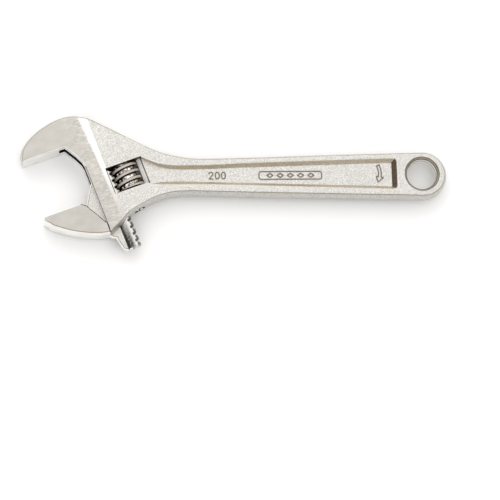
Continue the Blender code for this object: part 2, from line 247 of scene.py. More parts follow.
def raised(loop, z):
    """Gives a flat loop its height: one for all points, or one for each."""
    return np.column_stack([loop, np.broadcast_to(z, (len(loop),))])


def skin(rings, caps=True, looped=False):
    """Joins rings of points into a surface: ring r and r + 1 and points i and i + 1 bound one face.
    Caps close the first and last ring, and a looped surface joins the last ring to the first."""
    rings = np.asarray(rings, float)
    rows, count = rings.shape[:2]
    r, i = np.meshgrid(np.arange(rows if looped else rows - 1), np.arange(count), indexing="ij")
    s, j = (r + 1) % rows, (i + 1) % count
    quads = np.stack([r * count + i, r * count + j, s * count + j, s * count + i], axis=-1)
    faces = quads.reshape(-1, 4).tolist()
    if caps and not looped:
        faces.append(list(range(count))[::-1])
        faces.append(list(range((rows - 1) * count, rows * count)))
    return rings.reshape(-1, 3), faces


def around(u, radius, turn, v):
    """Points at a radius round an axis along v. Turn 0 is straight up and grows towards +u."""
    radius, turn, v = np.broadcast_arrays(radius, turn, v)
    angle = math.tau * turn
    flat = head(np.stack([u + radius * np.sin(angle), v], axis=-1))
    return np.concatenate([flat, (MID_Z + radius * np.cos(angle))[..., None]], axis=-1)


def turned(u, profile, sides, looped=False):
    """A profile of (radius, v) turned round an axis along v."""
    profile = np.asarray(profile, float)
    turns = np.arange(sides)[None, :] / sides
    return skin(around(u, profile[:, :1], turns, profile[:, 1:]), looped=looped)


# ---------------------------------------------------------------- objects

SLIVER = 3e-6                   # metres: shorter edges are dissolved
CRISP = math.radians(34.0)      # a sharper bend than this shows as an edge


def new_object(name, points, faces, materials=(), face_slots=None):
    """Makes an object of points drawn in millimetres from the hang hole, placed in the frame."""
    mesh = bpy.data.meshes.new(name)
    placed = (np.asarray(points, float) + (HOLE[0], HOLE[1], 0.0)) * MM
    mesh.from_pydata(placed.tolist(), [], faces)
    for material in materials:
        mesh.materials.append(material)
    if face_slots is not None:
        mesh.polygons.foreach_set("material_index", np.asarray(face_slots, np.int32))
    mesh.update()
    obj = bpy.data.objects.new(name, mesh)
    bpy.context.scene.collection.objects.link(obj)
    return obj


def one_slot(name, surface, slot):
    """Makes an object of a surface, its points and faces, that takes one material slot."""
    points, faces = surface
    return new_object(name, points, faces, face_slots=[slot] * len(faces))


def upright(outline, low, high, slot):
    """A prism of a flat outline that takes one material slot."""
    return one_slot("prism", skin([raised(outline, low), raised(outline, high)]), slot)


def carve(obj, cutters, operation="DIFFERENCE"):
    """Cuts or joins the cutters into an object for good and removes them, then clears slivers."""
    for cutter in cutters:
        modifier = obj.modifiers.new(cutter.name, "BOOLEAN")
        modifier.operation = operation
        modifier.object = cutter
    bpy.context.view_layer.update()
    graph = bpy.context.evaluated_depsgraph_get()
    result = bpy.data.meshes.new_from_object(obj.evaluated_get(graph))
    obj.modifiers.clear()
    shape = bmesh.new()
    shape.from_mesh(result)
    bmesh.ops.dissolve_degenerate(shape, dist=SLIVER, edges=shape.edges)
    shape.to_mesh(result)
    shape.free()
    obj.data = result
    for cutter in cutters:
        bpy.data.objects.remove(cutter)


def dress(obj, body, replaces=None):
    """Shades a piece, keeps its crisp edges, and lets it ride on its body."""
    obj.data.shade_smooth()
    obj.data.set_sharp_from_angle(angle=CRISP)
    even = obj.modifiers.new("Even shading", "WEIGHTED_NORMAL")
    even.keep_sharp = True
    even.weight = 100
    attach(obj, body)
    if replaces:
        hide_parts(replaces)


# ---------------------------------------------------------------- shader steps

def node(tree, kind, **sockets):
    """Adds a shader node and sets the sockets that are named."""
    made = tree.nodes.new(kind)
    for socket, value in sockets.items():
        made.inputs[socket].default_value = value
    return made


def on_piece(tree):
    """The place on the piece, in its own coordinates."""
    return node(tree, "ShaderNodeTexCoord").outputs["Object"]


def vector_step(tree, operation, vector, other=(0.0, 0.0, 0.0), output="Vector"):
    """A vector operation on a linked vector and a fixed one."""
    step = node(tree, "ShaderNodeVectorMath")
    step.operation = operation
    step.inputs[1].default_value = other
    tree.links.new(vector, step.inputs[0])
    return step.outputs[output]


def worked(tree, operation, first, second):
    """Adds, subtracts or multiplies: a linked value, and one that is linked or fixed."""
    step = node(tree, "ShaderNodeMath")
    step.operation = operation
    tree.links.new(first, step.inputs[0])
    if isinstance(second, float):
        step.inputs[1].default_value = second
    else:
        tree.links.new(second, step.inputs[1])
    return step.outputs[0]


def product(tree, *factors):
    """Multiplies factors."""
    result = factors[0]
    for factor in factors[1:]:
        result = worked(tree, "MULTIPLY", result, factor)
    return result


def grain(tree, scale, detail=3.0, stretch=(1.0, 1.0, 1.0)):
    """A noise on the piece's own coordinates, scale in spots for each metre, its spots stretched
    along u, v and z."""
    mapping = node(tree, "ShaderNodeMapping", Scale=stretch, Rotation=(0.0, 0.0, HEAD_TURN))
    mapping.vector_type = "TEXTURE"
    noise = node(tree, "ShaderNodeTexNoise", Scale=scale, Detail=detail)
    tree.links.new(on_piece(tree), mapping.inputs["Vector"])
    tree.links.new(mapping.outputs["Vector"], noise.inputs["Vector"])
    return noise.outputs["Fac"]


def spread(tree, factor, low, high, start=0.3, end=0.7):
    """Goes from low to high as the factor goes from start to end."""
    made = node(tree, "ShaderNodeMapRange")
    for socket, value in zip(("From Min", "From Max", "To Min", "To Max"), (start, end, low, high)):
        made.inputs[socket].default_value = value
    tree.links.new(factor, made.inputs["Value"])
    return made.outputs["Result"]


def distance_along(tree, direction, origin):
    """Distance along a direction from an origin, in metres, on the piece's own coordinates."""
    reach = vector_step(tree, "DOT_PRODUCT", on_piece(tree), direction, "Value")
    return worked(tree, "SUBTRACT", reach, float(sum(a * b for a, b in zip(direction, origin))))


def shade_of(colour, factor):
    """A colour made darker or lighter."""
    return tuple(min(1.0, channel * factor) for channel in colour)


def ramp(tree, factor, stops):
    """A colour ramp through the stops (place, colour)."""
    made = node(tree, "ShaderNodeValToRGB")
    elements = made.color_ramp.elements
    while len(elements) < len(stops):
        elements.new(0.5)
    for element, (place, colour) in zip(elements, stops):
        element.position = place
        element.color = (*colour, 1.0)
    tree.links.new(factor, made.inputs["Fac"])
    return made.outputs["Color"]


def shaded(tree, factor, base, dark, light, start=0.3, end=0.7):
    """The base colour, from a dark shade of it to a light one as the factor goes from start to end."""
    return ramp(tree, factor, [(start, shade_of(base, dark)), (end, shade_of(base, light))])


def tinted(tree, colour, factor, amount, tint):
    """Mixes a tint into a colour where the factor is high, up to the amount."""
    mix = node(tree, "ShaderNodeMix")
    mix.data_type = "RGBA"
    tree.links.new(spread(tree, factor, 0.0, amount, 0.0, 1.0), mix.inputs["Factor"])
    tree.links.new(colour, mix.inputs["A"])
    mix.inputs["B"].default_value = (*tint, 1.0)
    return mix.outputs["Result"]


def metal(name, base, metallic=1.0):
    """Starts a metal's material, and gives it with its tree."""
    material = bpy.data.materials.new(name)
    material.use_nodes = True
    shader = material.node_tree.nodes["Principled BSDF"]
    shader.inputs["Metallic"].default_value = metallic
    shader.inputs["Base Color"].default_value = (*base, 1.0)
    return material, material.node_tree


def finished(material, colour, rough, heights):
    """Gives the material its colour and roughness, and chains bumps of (height, strength, distance
    in metres) into its normal."""
    tree = material.node_tree
    shader = tree.nodes["Principled BSDF"]
    tree.links.new(colour, shader.inputs["Base Color"])
    tree.links.new(rough, shader.inputs["Roughness"])
    normal = None
    for height, strength, distance in heights:
        bump = node(tree, "ShaderNodeBump", Strength=strength, Distance=distance)
        tree.links.new(height, bump.inputs["Height"])
        if normal is not None:
            tree.links.new(normal, bump.inputs["Normal"])
        normal = bump.outputs["Normal"]
    tree.links.new(normal, shader.inputs["Normal"])
    return material


# ---------------------------------------------------------------- metals

def in_frame(u, v):
    """A point of u and v in the frame's metres, at mid thickness."""
    x, y = head([(u, v)])[0]
    return ((x + HOLE[0]) * MM, (y + HOLE[1]) * MM, MID_Z * MM)


def up_ridge(tree):
    """Distance up the ridge towards the fixed jaw, in metres."""
    return distance_along(tree, (*V_AXIS, 0.0), in_frame(*RIDGE_AT))


def across_ridge(tree):
    """Distance across the ridge behind the jaws, in metres: negative on the ground flat. The ridge
    bends away towards the jaws in its upper half."""
    c, s = U_AXIS
    straight = distance_along(tree, (c - RIDGE_LEAN * s, s + RIDGE_LEAN * c, 0.0), in_frame(*RIDGE_AT))
    return worked(tree, "ADD", straight, spread(tree, up_ridge(tree), 0.0, 0.0010, 0.030, 0.055))


def forged_metal(name, tint=(1.0, 1.0, 1.0)):
    """Satin plate over a blasted forging: grain of half a millimetre, paler on its tops and browner
    in its pits, over slow waves in the skin. The tint is a share of the forged colour."""
    base = tuple(a * b for a, b in zip(bpy.context.scene.wrench_finish.forged, tint))
    material, tree = metal(name, base)
    coarse, fine, slow = grain(tree, 2200.0, 2.5), grain(tree, 4200.0, 2.0), grain(tree, 120.0)
    colour = ramp(tree, coarse, [(0.32, shade_of(base, 0.70)), (0.48, base), (0.66, shade_of(base, 1.26))])
    colour = tinted(tree, colour, spread(tree, slow, 0.0, 1.0, 0.45, 0.75), 0.18, shade_of(base, 0.82))
    return finished(material, colour, spread(tree, fine, 0.36, 0.54),
                    [(slow, 0.25, 0.0006), (coarse, 0.6, 0.00018), (fine, 0.35, 0.00007)])


def ground_metal():
    """Plate over a ground flat: smooth and faintly mottled. The wheel's fine strokes gather towards
    the ridge behind the jaws, and a painted highlight feathers the flat into the ridge's bright facet."""
    base = bpy.context.scene.wrench_finish.ground
    material, tree = metal("ground_flat", base)
    mottle = grain(tree, 260.0, 5.0, (1.4, 0.8, 1.0))
    strokes = grain(tree, 1500.0, 4.0, (2.4, 0.7, 1.0))
    near_ridge = spread(tree, across_ridge(tree), 0.0, 1.0, -0.0115, -0.001)
    marks = product(tree, spread(tree, strokes, 0.0, 1.0, 0.50, 0.66), near_ridge)
    pits = product(tree, spread(tree, strokes, 1.0, 0.0, 0.34, 0.46), near_ridge)
    # painted highlight: the flat goes near white in strokes as it meets the ridge's facet
    ridge_highlight = product(tree, spread(tree, across_ridge(tree), 0.0, 1.0, -0.0008, 0.0004),
                      spread(tree, strokes, 0.5, 1.0, 0.42, 0.60),
                      spread(tree, up_ridge(tree), 0.1, 1.0, 0.010, 0.030))
    colour = shaded(tree, mottle, base, 0.95, 1.05, 0.34, 0.66)
    colour = tinted(tree, colour, marks, 0.45, (0.80, 0.77, 0.72))
    colour = tinted(tree, colour, pits, 0.35, shade_of(base, 0.6))
    colour = tinted(tree, colour, ridge_highlight, 0.95, (0.91, 0.90, 0.88))
    return finished(material, colour, spread(tree, strokes, 0.28, 0.40),
                    [(mottle, 0.08, 0.0002), (strokes, 0.15, 0.00006)])


def ridge_metal():
    """The facet where the grinding wheel ran off the flat, with a painted highlight: nearly white by
    the fixed jaw, and fading to the flat's own colour further down."""
    base = bpy.context.scene.wrench_finish.ground
    material, tree = metal("ridge_facet", base)
    ragged = grain(tree, 1100.0, 4.0, (2.2, 0.7, 1.0))
    # painted highlight: near white on the facet, strongest up the ridge towards the fixed jaw
    bright = product(tree, spread(tree, up_ridge(tree), 0.2, 1.0, 0.008, 0.026),
                     spread(tree, across_ridge(tree), 0.55, 1.0, -0.0002, 0.0009))
    colour = tinted(tree, shaded(tree, ragged, base, 0.98, 1.22), bright, 0.96, (0.86, 0.85, 0.83))
    return finished(material, colour, spread(tree, ragged, 0.30, 0.42), [(ragged, 0.15, 0.00008)])


def plate_metal():
    """Bright plating on the sides that nothing rubs: nearly white, with faint waves."""
    base = bpy.context.scene.wrench_finish.plate
    material, tree = metal("bright_plate", base)
    waves = grain(tree, 300.0, 3.0, (2.0, 2.0, 0.7))
    return finished(material, shaded(tree, waves, base, 0.90, 1.05),
                    spread(tree, waves, 0.26, 0.36), [(waves, 0.10, 0.0001)])


def pale_wall_metal():
    """The window's sloping wall: rough dull plate that catches the light from above."""
    dark, light = (0.82, 0.81, 0.79), (0.97, 0.96, 0.95)
    material, tree = metal("pale_wall", (0.80, 0.79, 0.77), 0.0)
    pits = grain(tree, 1100.0)
    return finished(material, ramp(tree, pits, [(0.3, dark), (0.7, light)]),
                    spread(tree, pits, 0.38, 0.55), [(pits, 0.3, 0.0001)])


def cut_shade_metal():
    """Near-black painted shade for the insides of holes, slots, grooves and gaps, with cutter marks."""
    base = bpy.context.scene.wrench_finish.cut
    material, tree = metal("cut_wall_painted_shade", base)
    return finished(material, shaded(tree, grain(tree, 500.0), base, 0.5, 2.2, 0.3, 0.75),
                    spread(tree, grain(tree, 700.0, 2.0), 0.30, 0.5),
                    [(grain(tree, 1300.0, 2.0, (5.0, 1.0, 1.0)), 0.2, 0.0001)])


def turned_metal(name, factor, rough):
    """Bright turned steel: fine rings round the slide's direction, and faint spots."""
    base = shade_of(bpy.context.scene.wrench_finish.turned, factor)
    material, tree = metal(name, base)
    rings = grain(tree, 1400.0, 2.0, (16.0, 1.0, 16.0))
    return finished(material, shaded(tree, grain(tree, 500.0), base, 0.9, 1.08),
                    spread(tree, rings, *rough), [(rings, 0.12, 0.00005)])


def rack_metal():
    """Bright plate on the rack. A grainy painted dark reflection covers its back, beside the web, and
    thickens towards the free end, where the teeth are painted brown as shade."""
    base = bpy.context.scene.wrench_finish.turned
    material, tree = metal("rack_steel", base)
    free_end = in_frame(ROD_U, 15.0)
    across = distance_along(tree, (*U_AXIS, 0.0), free_end)
    up = distance_along(tree, (*V_AXIS, 0.0), free_end)
    speckle = grain(tree, 2600.0, 3.0, (0.8, 1.4, 1.0))
    # painted reflection: grainy near black on the rod's back, darker towards the free end
    dark_reflection = product(tree, spread(tree, across, 1.0, 0.0, -0.0006, 0.0008),
                    spread(tree, up, 1.0, 0.3, 0.005, 0.015),
                    spread(tree, speckle, 0.6, 1.0, 0.36, 0.52))
    # painted shade: the teeth by the free end darken to brown where they curve away
    teeth_shade = product(tree, spread(tree, across, 0.0, 1.0, 0.0015, 0.0020),
                  spread(tree, up, 1.0, 0.0, 0.013, 0.020))
    colour = shaded(tree, grain(tree, 500.0), base, 0.9, 1.08)
    colour = tinted(tree, colour, dark_reflection, 0.97, shade_of(base, 0.05))
    colour = tinted(tree, colour, teeth_shade, 0.85, (0.20, 0.16, 0.12))
    return finished(material, colour, spread(tree, speckle, 0.12, 0.26), [(speckle, 0.15, 0.00006)])


def worm_metal(root, crest):
    """The worm's steel, by its distance from the worm's axis: glossy in the root with blotches of painted
    reflection from black to bright, painted shade up the flanks in near black, and worn to dull beige
    on the thread's crest."""
    finish = bpy.context.scene.wrench_finish
    material, tree = metal("worm_steel", finish.turned)
    arm = vector_step(tree, "SUBTRACT", on_piece(tree), JOINTS["worm_spin"]["pos_m"])
    radius = vector_step(tree, "LENGTH", vector_step(tree, "CROSS_PRODUCT", arm, SLIDE), output="Value")
    reflection_blotches = grain(tree, 900.0)
    flank = spread(tree, radius, 0.0, 1.0, (root + 0.05) * MM, (root + 0.3) * MM)
    top = spread(tree, radius, 0.0, 1.0, (crest - 0.16) * MM, (crest - 0.08) * MM)
    # painted reflection: the root's blotches jump from black to bright
    colour = shaded(tree, reflection_blotches, finish.turned, 0.22, 1.25, 0.44, 0.58)
    # painted shade: the flanks go near black
    colour = tinted(tree, colour, flank, 0.95, shade_of(finish.turned, 0.03))
    colour = tinted(tree, colour, top, 1.0, finish.crest)
    tree.links.new(spread(tree, top, 1.0, 0.25, 0.0, 1.0), tree.nodes["Principled BSDF"].inputs["Metallic"])
    return finished(material, colour, spread(tree, top, 0.10, 0.42, 0.0, 1.0),
                    [(reflection_blotches, 0.25, 0.0001), (grain(tree, 2600.0, 2.0), 0.2, 0.00006)])


# ---------------------------------------------------------------- body

UPPER_EDGE = [(-163.0, 29.15), (-160.8, 28.9), (-157.9, 28.1), (-153.2, 25.8), (-143.8, 21.0),
              (-134.4, 16.2), (-125.0, 12.0), (-115.6, 9.7), (-106.0, 8.8), (-82.0, 9.2),
              (-34.0, 10.6), (0.7, 11.4)]
LOWER_EDGE = [(-142.4, -22.6), (-139.8, -19.3), (-136.9, -17.0), (-132.1, -14.3), (-127.6, -12.0),
              (-120.5, -9.7), (-113.0, -9.1), (-106.0, -9.1), (-82.0, -9.8), (-34.0, -11.0),
              (0.7, -11.8)]
FIXED_JAW_BACK = [(-163.0, 29.15), (-165.3, 29.4), (-168.3, 29.2), (-172.0, 28.3), (-176.7, 26.1),
                  (-181.5, 23.0), (-184.8, 20.2), (-187.9, 16.8), (-190.1, 13.1), (-190.9, 9.7),
                  (-190.5, 7.4)]
THROAT = [(-176.1, FIXED_FACE_V), (-155.2, FIXED_FACE_V), (-154.5, 69.9), (-151.7, 65.2),
          (-149.9, 61.5), (THROAT_U, 58.8), (THROAT_U, 26.0)]
THROAT_EDGE = 5                 # the side of THROAT that the movable jaw slides along
HEEL = (THROAT_U + 0.3, 24.0)
END_CENTRE = (0.7, -0.2)
END_RADIUS = 11.6
RIDGE_BANDS = (4.3, 2.0)        # width of the ridge's drop along the upper and the lower edge
BAND_ROWS = 10                  # rows of faces over that drop
FACE_ROWS = 16                  # rows of faces from the upper to the lower edge
RIDGE_FOOT_U = -139.3           # where the drop ends
NECK_X = (-141.0, -103.0)       # where the head's thickness falls to the handle's
ROUNDING_X = (-140.0, -115.0)   # where the head's edge radius grows to the handle's
MACHINED_ROUND = 0.24           # radius of the edges that are cut and not forged
WALL_POWER = 2.4                # a forged side's inset grows with height to this power
CHANNEL_Z = 5.2                 # over mid thickness, where the channel's outline is drawn
CHANNEL_UPRIGHT_X = -131.0      # where its wall stands upright
CHANNEL_UPPER = [(-20.0, 8.0), (-34.0, 7.6), (-82.0, 6.1), (-106.0, 4.9), (-118.0, 4.4),
                 (-125.2, 5.1), (-129.9, 6.7), (-133.4, 8.2), (-135.2, 8.4)]
CHANNEL_LOWER = [(-130.6, -4.3), (-106.0, -4.9), (-82.0, -5.6), (-34.0, -7.1), (-20.0, -7.5)]
CHANNEL_END = [(-20.0, -7.5, 0.0), (-11.8, -7.7, 2.4), (-11.8, 8.2, 2.4), (-20.0, 8.0, 0.0)]
ROD_BORE = [(3.65, 5.0), (3.65, 95.0)]
PIN_HOLE = [(2.75, 20.0), (2.75, 31.8), (2.05, 33.4), (2.05, 60.6)]
WEB_SLOT = [(-152.0, 10.0), (-142.4, 10.0), (-142.4, 80.4), (-150.0, 80.4), (-156.3, 71.6),
            (-157.8, 71.6), (-157.8, 66.0), (-152.0, 60.0)]
WEB_SLOT_HALF = 2.5
# the cut, wall, wall-end and rim slots carry painted shade: near black, brownish, dark brown and a thin
# brown edge line
FORGED, GROUND, CUT_SHADE, RIDGE, PLATE, PALE, WALL_SHADE, WALL_END_SHADE, RIM_SHADE = range(9)     # the material slots
RIM_ROWS = np.r_[0:4, -4:0]     # the rows of a side wall that round both edges
RIM_FOOT_ROWS = [2, 3, -4, -3]  # those of them next to the wall


def half_thickness(points):
    """Half the forging's thickness at x and y: full up to the ridge, a smooth drop over the band
    behind it, and then a gently eased fall over the neck to the handle's own thickness."""
    sizes = bpy.context.scene.wrench_body
    uv = unturned(points)
    ridge = RIDGE_AT[0] - (uv[:, 1] - RIDGE_AT[1]) * RIDGE_LEAN
    foot = RIDGE_FOOT_U - 0.04 * np.clip(uv[:, 1] - 54.0, 0.0, None)
    drop = np.clip((uv[:, 0] - ridge) / (foot - ridge), 0.0, 1.0)
    fall = np.clip((np.asarray(points)[:, 0] - NECK_X[0]) / (NECK_X[1] - NECK_X[0]), 0.0, 1.0)
    fall = fall + 0.12 * np.sin(math.tau * fall) / math.tau
    return (HALF - sizes.ridge_drop * drop ** 2 * (3 - 2 * drop)
            - (HALF - sizes.handle_half - sizes.ridge_drop) * fall)


def edge_stations():
    """Matching points of the upper and lower edge: close together over the ridge's drop, then
    evenly spread, then round the end's half circle."""
    pairs = []
    for edge, band in zip((UPPER_EDGE, LOWER_EDGE), RIDGE_BANDS):
        curve = through(edge)
        behind = np.linspace(band, length_of(curve), 90)[1:]
        over_band = np.linspace(0.0, band, BAND_ROWS + 1)
        pairs.append(at_lengths(curve, np.concatenate([over_band, behind])))
    angle = np.linspace(0.0, math.pi / 2, 17)[1:-1]
    x = END_CENTRE[0] + END_RADIUS * np.sin(angle)
    y = END_RADIUS * np.cos(angle)
    upper = np.vstack([pairs[0], np.column_stack([x, END_CENTRE[1] + y])])
    lower = np.vstack([pairs[1], np.column_stack([x, END_CENTRE[1] - y])])
    return upper, lower


def side_rings(loop, bulge, radius, half):
    """The side wall as rings from the lower face to the upper. Above mid thickness the wall's inset
    is the bulge times the share of its height to WALL_POWER, an arc joins it to the face, and the
    lower half is the same mirrored."""
    steps = np.linspace(0.0, 1.0, 7)
    r_point = (radius + np.roll(radius, 1)) / 2
    lean_edge = np.arctan(WALL_POWER * bulge / (HALF - radius))
    lean_point = (lean_edge + np.roll(lean_edge, 1)) / 2
    top = half - r_point * (1 - np.sin(lean_point))
    upper = [(inset(loop, bulge * a ** WALL_POWER), top * a) for a in steps]
    for b in np.linspace(0.0, 1.0, 5)[1:]:
        angle_edge = lean_edge + (math.pi / 2 - lean_edge) * b
        angle_point = lean_point + (math.pi / 2 - lean_point) * b
        distance = bulge + radius * (np.cos(lean_edge) - np.cos(angle_edge))
        height = top + r_point * (np.sin(angle_point) - np.sin(lean_point))
        upper.append((inset(loop, distance), height))
    lower = [(flat, -z) for flat, z in upper[:0:-1]]
    return [raised(flat, MID_Z + z) for flat, z in lower + upper]


def face_between(ring, base, start, side, count):
    """One face of the forging, inside a ring whose points are numbered from base: a grid on straight
    lines between the matching points of both edges, count of them, the round end and the head's flat
    plate. Its own points are numbered from start. Gives its points, faces and slots."""
    first_lower = len(ring) - 1 - count
    tops, bottoms = ring[count - 1::-1, :2], ring[first_lower:first_lower + count, :2]
    across = np.linspace(0.0, 1.0, FACE_ROWS + 1)[1:-1]
    flat = (tops[:, None] + (bottoms - tops)[:, None] * across[None, :, None]).reshape(-1, 2)
    ids = np.empty((count, len(across) + 2), int)
    ids[:, 0] = base + count - 1 - np.arange(count)
    ids[:, -1] = base + first_lower + np.arange(count)
    ids[:, 1:-1] = start + np.arange(len(flat)).reshape(count, -1)
    grid = np.stack([ids[:-1, :-1], ids[1:, :-1], ids[1:, 1:], ids[:-1, 1:]], axis=-1)
    end = np.concatenate([ids[-1], [base + len(ring) - 1]])
    plate = np.concatenate([np.arange(base + count - 1, base + first_lower + 1), ids[0, 1:-1][::-1]])
    faces = grid.reshape(-1, 4)[:, ::-side].tolist() + [end[::side].tolist(), plate[::side].tolist()]
    column = np.repeat(np.arange(count - 1), FACE_ROWS)
    slots = np.where(column < BAND_ROWS, RIDGE, FORGED).tolist() + [FORGED, GROUND]
    return raised(flat, MID_Z + side * half_thickness(flat)), faces, slots


def forging_blank(materials):
    """The uncut forging: side rings round the outline, and a face on both sides. The loop runs along
    the upper edge to the head, round the fixed jaw's back, down the machined throat to the heel, and
    back along the lower edge."""
    sizes = bpy.context.scene.wrench_body
    upper, lower = edge_stations()
    back = evenly(through(FIXED_JAW_BACK), 70)[1:]
    throat, heel = head(THROAT), head([HEEL])
    lead_in = evenly(np.vstack([heel, lower[:1]]), 8)[1:-1]
    end_point = np.array([[END_CENTRE[0] + END_RADIUS, END_CENTRE[1]]])
    loop = np.vstack([upper[::-1], back, throat, heel, lead_in, lower, end_point])
    first = len(upper) + len(back)
    machined = np.zeros(len(loop), bool)
    machined[first:first + len(throat)] = True
    behind = np.clip((loop[:, 0] - ROUNDING_X[0]) / (ROUNDING_X[1] - ROUNDING_X[0]), 0.0, 1.0)
    ease = eased(loop, throat[0])
    radius = sizes.head_round + (sizes.handle_round - sizes.head_round) * behind
    radius = np.where(machined, MACHINED_ROUND, radius * (0.3 + 0.7 * ease))
    rings = side_rings(loop, np.where(machined, 0.0, sizes.bulge * ease), radius, half_thickness(loop))
    walls = np.full((len(rings) - 1, len(loop)), FORGED)
    walls[:, machined] = PLATE
    # painted shade: thin brown lines on the rounds of the head's edges
    walls[np.ix_(RIM_ROWS, (behind == 0.0) & ~machined)] = RIM_SHADE
    # painted shade: a black line along the throat's sliding edge
    walls[RIM_ROWS, first + THROAT_EDGE] = CUT_SHADE
    # painted shade: thin brown lines at the foot of the handle's rounds
    walls[np.ix_(RIM_FOOT_ROWS, behind > 0.0)] = RIM_SHADE
    points, faces = skin(rings, caps=False)
    slots = walls.ravel().tolist()
    for side, ring in ((-1, 0), (1, len(rings) - 1)):
        some, more, more_slots = face_between(rings[ring], ring * len(loop), len(points), side, len(upper))
        points = np.vstack([points, some])
        faces += more
        slots += more_slots
    return new_object("wrench_body", points, faces, materials, slots)


def channel_cutter(side):
    """The channel's cutter: its outline carried up a wall that starts with a fillet from the floor,
    leans outwards, and flares at the top to round the rim. The wall stands upright by the window and
    leans more and more behind it. Each pair of the profile is (inset, as a share of the wall's width;
    height, as a share of the depth)."""
    sizes = bpy.context.scene.wrench_body
    outline = np.vstack([rounded(CHANNEL_END, 8), through(CHANNEL_UPPER)[1:],
                         through(CHANNEL_LOWER, 8)[:-1]])
    rim = half_thickness(outline)
    edge = np.roll(outline, -1, axis=0) - outline
    edge /= np.linalg.norm(edge, axis=1)[:, None]
    facing_end, facing_upper = np.clip(edge[:, 1], 0.0, 1.0), np.clip(-edge[:, 0], 0.0, 1.0)
    leans = sizes.channel_slope * (1 + 0.4 * facing_end ** 2 + 0.2 * facing_upper ** 2)
    reach = 3.0 + 15.0 * facing_upper
    leans *= np.clip(1.0 - np.exp(-(outline[:, 0] - CHANNEL_UPRIGHT_X) / reach), 0.02, 1.0)
    depth = rim - sizes.channel_floor
    start = leans * (CHANNEL_Z - rim)
    profile = [(1.0, 0.0), (0.9, 0.09), (0.82, 0.17), (0.12, 0.86), (0.02, 0.94),
               (-0.09, 0.985), (-0.22, 1.002), (-0.34, 1.006), (-0.45, 1.7)]
    rings = [raised(inset(outline, start + leans * depth * part),
                    MID_Z + side * (sizes.channel_floor + depth * up)) for part, up in profile]
    # painted shade: the channel's walls take a brownish tint, and its end wall a near-black brown
    walls = np.full((len(rings) - 1, len(outline)), WALL_SHADE)
    walls[:, facing_end > 0.5] = WALL_END_SHADE
    walls[-3:] = FORGED
    points, faces = skin(rings[::side])
    face_slots = walls[::side].ravel().tolist() + [FORGED, FORGED]
    return new_object("channel", points, faces, face_slots=face_slots)


def window_cutter():
    """The worm's window: its wall by the handle leans out towards both faces, pale up to a lip painted
    dark as shade at the height of the channel's floor, while the other walls are painted near black as
    shade. Each level of the upper half is (height, left wall, right wall, right wall's material slot
    from the level below)."""
    # painted shade: the right wall's lip, at the height of the channel's floor, is a brown line
    upper = [(0.6, -140.6, -125.3, PALE), (2.3, -140.6, -123.6, PALE), (2.95, -140.6, -123.05, RIM_SHADE),
             (5.2, -140.6, -123.05, WALL_SHADE), (5.65, -141.05, -123.05, WALL_SHADE), (9.5, -141.05, -123.05, WALL_SHADE)]
    rings = [raised(oblong(left, right, *WINDOW_V), MID_Z + side * w)
             for side, half in ((-1, upper[::-1]), (1, upper)) for w, left, right, _ in half]
    right_slots = [level[3] for level in upper[:0:-1] + upper]
    # painted shade: the window's left, upper and lower walls are near black
    side_slots = [item for slot in right_slots for item in (CUT_SHADE, slot, CUT_SHADE, CUT_SHADE)]
    points, faces = skin(rings)
    return new_object("window", points, faces, face_slots=side_slots + [CUT_SHADE, CUT_SHADE])


def hole_cutter():
    """The hang hole: a profile turned round z, with a rounded lip and a bevel at both mouths. Each
    level of its upper half is (radius, height, material slot of the band that starts there)."""
    sizes = bpy.context.scene.wrench_body
    r, h, b = sizes.hole_radius, sizes.handle_half, sizes.hole_bevel
    # painted shade: the dark brown and brownish bands stand in for the rings of shade and reflection round
    # the hole's mouth
    half = [(r + b + 1.0, h + 1.0, FORGED), (r + b + 0.15, h + 0.05, WALL_END_SHADE),
            (r + b + 0.02, h - 0.05, WALL_END_SHADE), (r + b - 0.2, h - 0.22, WALL_SHADE),
            (r + 0.35, h - 1.1, WALL_END_SHADE), (r + 0.08, h - 1.3, PLATE), (r + 0.02, h - 1.45, PLATE),
            (r - 0.02, 1.3, RIM_SHADE), (r - 0.12, 0.9, PLATE), (r - 0.15, 0.4, PLATE)]
    profile = np.array([level[:2] for level in half] + [(radius, -z) for radius, z, _ in half[::-1]])
    bands = [level[2] for level in half + half[-2::-1]]
    turn = np.linspace(0.0, math.tau, 97)[:-1]
    rings = np.stack([profile[:, :1] * np.cos(turn), profile[:, :1] * np.sin(turn),
                      MID_Z + np.broadcast_to(profile[:, 1:2], (len(profile), len(turn)))], axis=-1)
    points, faces = skin(rings[::-1])
    face_slots = np.repeat(bands[::-1], len(turn)).tolist() + [FORGED, FORGED]
    return new_object("hang_hole", points, faces, face_slots=face_slots)


class WRENCH_OT_body(Operator):
    """Build the forged body and cut its holes"""
    bl_idname = "wrench.body"
    bl_label = "Body"

    def execute(self, context):
        # painted shade: the channel's walls, its end and the edge lines are darker tints of the forged
        # skin, and the cut walls near black
        body = forging_blank([forged_metal("forged_skin"), ground_metal(), cut_shade_metal(), ridge_metal(),
                              plate_metal(), pale_wall_metal(),
                              forged_metal("channel_wall_painted_shade", (1.02, 0.94, 0.80)),
                              forged_metal("channel_end_painted_shade", (0.20, 0.165, 0.125)),
                              forged_metal("painted_edge_shade", (0.62, 0.54, 0.43))])
        # painted shade: the web's slot, the bore and the pin hole are near black inside
        slot = upright(head(WEB_SLOT), MID_Z - WEB_SLOT_HALF, MID_Z + WEB_SLOT_HALF, CUT_SHADE)
        carve(body, [channel_cutter(1), channel_cutter(-1), window_cutter(), slot,
                     one_slot("bore", turned(ROD_U, ROD_BORE, 72), CUT_SHADE),
                     one_slot("pin_hole", turned(WORM_U, PIN_HOLE, 48), CUT_SHADE), hole_cutter()])
        dress(body, "body", "body")
        return {"FINISHED"}


# ---------------------------------------------------------------- movable jaw

